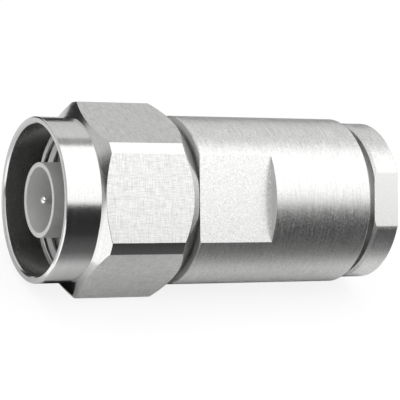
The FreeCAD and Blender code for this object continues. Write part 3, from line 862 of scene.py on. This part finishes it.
# Smooth paper scatters light evenly, so the eye finds nothing on it but the object's soft shadow.
table_paper = new_material("smooth_white_paper")
paper_tree = table_paper.node_tree
paper = add(paper_tree, "ShaderNodeBsdfDiffuse", {"Color": linear("#F2F2F2")})
ray = add(paper_tree, "ShaderNodeLightPath").outputs
seen = ray["Is Camera Ray"]
for kind in ("Is Glossy Ray", "Is Transmission Ray"):
    seen = add(paper_tree, "ShaderNodeMath", {
        "Value": seen, "Value_001": ray[kind]}, operation="ADD").outputs["Value"]
share = add(paper_tree, "ShaderNodeMath", {"Value": seen, "Value_001": WHITE_SHARE}, operation="MULTIPLY")
glow = add(paper_tree, "ShaderNodeEmission", {"Color": WHITE, "Strength": 1})
paper_seen = add(paper_tree, "ShaderNodeMixShader", {
    "Fac": share.outputs["Value"],
    "Shader": paper.outputs["BSDF"], "Shader_001": glow.outputs["Emission"]})
add(paper_tree, "ShaderNodeOutputMaterial", {"Surface": paper_seen.outputs["Shader"]})
sheet("table", lying(-HALF_TABLE, HALF_TABLE, -HALF_TABLE, HALF_TABLE, 0), table_paper)
print("table:", 2 * HALF_TABLE, "mm wide")

# %% [markdown]
# The room is pale grey at the horizon and grows brighter towards the ceiling, as a room with high
# windows does. A picture of a real room would light the metal too, but with shapes that mean nothing
# here. A plain rise of brightness keeps the reflections easy to read.

# %% Room
WALL_LEVEL, CEILING_LEVEL = 0.7, 1.05

world = bpy.data.worlds.new("pale_room")
world.use_nodes = True
room_tree = world.node_tree
room_tree.nodes.clear()
direction = add(room_tree, "ShaderNodeTexCoord").outputs["Generated"]
upward = add(room_tree, "ShaderNodeSeparateXYZ", {"Vector": direction}).outputs["Z"]
level = add(room_tree, "ShaderNodeMapRange", {
    "Value": upward, "To Min": WALL_LEVEL, "To Max": CEILING_LEVEL}).outputs["Result"]
room = add(room_tree, "ShaderNodeBackground", {"Color": WHITE, "Strength": level})
add(room_tree, "ShaderNodeOutputWorld", {"Surface": room.outputs["Background"]})
bpy.context.scene.world = world
print("room level", WALL_LEVEL, "to", CEILING_LEVEL)

# %% [markdown]
# The soft panel hangs above the plug and in front of it. Every cylinder mirrors the panel as a broad
# white band along its near side, and a flat that is turned towards it is white all over. A glowing
# sheet would do the same. An area lamp is chosen, because it gives the same light with less noise.

# %% Soft panel
PANEL_DISTANCE = 250
PANEL_SIZE = (800, 445)
PANEL_MIDDLE_X = 130
PANEL_ELEVATION = math.radians(66.5)
PANEL_WATTS = 0.88

panel_light = bpy.data.lights.new("soft_panel", "AREA")
panel_light.shape = "RECTANGLE"
panel_light.size, panel_light.size_y = (size * MM for size in PANEL_SIZE)
panel_light.energy = PANEL_WATTS
panel = bpy.data.objects.new("soft_panel", panel_light)
bpy.context.collection.objects.link(panel)
panel.location = Vector((PANEL_MIDDLE_X, -PANEL_DISTANCE * math.cos(PANEL_ELEVATION),
                         PANEL_DISTANCE * math.sin(PANEL_ELEVATION))) * MM
panel.rotation_euler = (math.pi / 2 - PANEL_ELEVATION, 0, 0)
panel.visible_camera = False
print("panel at", [round(v, 3) for v in panel.location], "m,", panel_light.energy, "W")

# %% [markdown]
# All that is dark in the metal comes from cards, as in a photographer's studio. Most are painted board
# and one glows. The graded board changes from black in front to pale below the plug, with a colour
# ramp along Y. Several boards side by side could do that too, but they would leave steps in the metal.

# %% Paints of the cards
GRADES_MM = {-40: "#303030", -25: "#4D4D4D", -16: "#656565", -13: "#959595", -10.6: "#D8D8D8",
             -9.5: "#EAEAEA", 10: "#D8D8D8"}
LIGHT_CARD_LEVEL = 1.6

# Painted card board: dull, and its grey changes towards the back as the grades say.
graded_board = new_material("painted_graded_board")
board_tree = graded_board.node_tree
board_place = add(board_tree, "ShaderNodeTexCoord").outputs["Object"]
backward = add(board_tree, "ShaderNodeSeparateXYZ", {"Vector": board_place}).outputs["Y"]
near_end, far_end = min(GRADES_MM), max(GRADES_MM)
along = add(board_tree, "ShaderNodeMapRange", {
    "Value": backward, "From Min": near_end * MM, "From Max": far_end * MM})
grades = add(board_tree, "ShaderNodeValToRGB", {"Fac": along.outputs["Result"]})
stops = grades.color_ramp.elements
for number, (place_mm, grey) in enumerate(sorted(GRADES_MM.items())):
    position = (place_mm - near_end) / (far_end - near_end)
    stop = stops[number] if number < 2 else stops.new(position)
    stop.position = position
    stop.color = linear(grey)
board = add(board_tree, "ShaderNodeBsdfDiffuse", {"Color": grades.outputs["Color"]})
add(board_tree, "ShaderNodeOutputMaterial", {"Surface": board.outputs["BSDF"]})


def plain_board(name, grey):
    """Dull card board, painted in one grey."""
    material = new_material(name)
    paint = add(material.node_tree, "ShaderNodeBsdfDiffuse", {"Color": linear(grey)})
    add(material.node_tree, "ShaderNodeOutputMaterial", {"Surface": paint.outputs["BSDF"]})
    return material


# Black board gives metal something dark to mirror, and grey board only a faint line.
black_board = plain_board("painted_black_board", "#303030")
grey_board = plain_board("painted_grey_board", "#B4B4B4")

# A back-lit diffuser is brighter than the room, so metal that mirrors it gets a clear highlight.
lit_diffuser = new_material("back_lit_diffuser")
lit = add(lit_diffuser.node_tree, "ShaderNodeEmission", {"Color": WHITE, "Strength": LIGHT_CARD_LEVEL})
add(lit_diffuser.node_tree, "ShaderNodeOutputMaterial", {"Surface": lit.outputs["Emission"]})

print("paints:", len(GRADES_MM), "grades on the graded board")

# %% [markdown]
# Only reflections see the cards: the camera looks through them, and they throw no shadow. Each card is
# there for one part of the picture, and its place is given in millimetres.
# - The front card stands before the plug and makes the dark band below the white one.
# - The graded card lies under everything. It is black in front and pale below the plug, so the dark
#   band fades towards the bottom of each cylinder.
# - The back card stands behind the plug and draws the dark line along its top edges.
# - The panel's frame is the dark rim at the panel's rear. It gives the faint grey line above the band.
# - The left card stands beyond the mouth and darkens the upper part of the hexagon's front cone.
# - The light card lies before the mouth and brightens the lower part of that cone.
# - The shade card lies close below the plug and darkens the underside of the collar. It is a painted
#   shadow: the plug's own shade on the table, as the collar mirrors it.

# %% Cards
CARD_LEFT, CARD_RIGHT, CARD_DISTANCE = -300, 400, 120
FRONT_HEIGHT, BACK_HEIGHT, LEFT_HEIGHT = 57.5, 43.5, 79.5
FRAME_PLACE, FRAME_HEIGHT = (-300, 550, 107, 200), 329.5
LEFT_CARD_X, LEFT_CARD_NEAR = -250, 10
LIGHT_CARD_PLACE, SHADE_CARD_PLACE = (-250, -4, -60, 2), (1, 41, -4.8, 4)
LIFT = 0.4


def standing(x_from, x_to, y_from, y_to, height):
    """Corners of an upright sheet on the table, in millimetres."""
    places = ((x_from, y_from, 0), (x_to, y_to, 0), (x_to, y_to, height), (x_from, y_from, height))
    return [(x * MM, y * MM, TABLE + z * MM) for x, y, z in places]


cards = [
    sheet("front_card", standing(CARD_LEFT, CARD_RIGHT, -CARD_DISTANCE, -CARD_DISTANCE, FRONT_HEIGHT),
          black_board),
    sheet("graded_card", lying(CARD_LEFT, CARD_RIGHT, -CARD_DISTANCE, CARD_DISTANCE, LIFT / 2),
          graded_board),
    sheet("back_card", standing(CARD_LEFT, CARD_RIGHT, CARD_DISTANCE, CARD_DISTANCE, BACK_HEIGHT),
          black_board),
    sheet("panel_frame", lying(*FRAME_PLACE, FRAME_HEIGHT), grey_board),
    sheet("left_card", standing(LEFT_CARD_X, LEFT_CARD_X, LEFT_CARD_NEAR, CARD_DISTANCE, LEFT_HEIGHT),
          black_board),
    sheet("light_card", lying(*LIGHT_CARD_PLACE, LIFT), lit_diffuser),
    sheet("shade_card", lying(*SHADE_CARD_PLACE, LIFT), black_board),
]
for card in cards:
    card.visible_camera = False
    card.visible_diffuse = False
    card.visible_shadow = False
    card.visible_transmission = False
print("cards:", len(cards))

# %% [markdown]
# Standard view transform shows the colours as they are written.

# %% Finish
bpy.context.scene.view_settings.view_transform = "Standard"
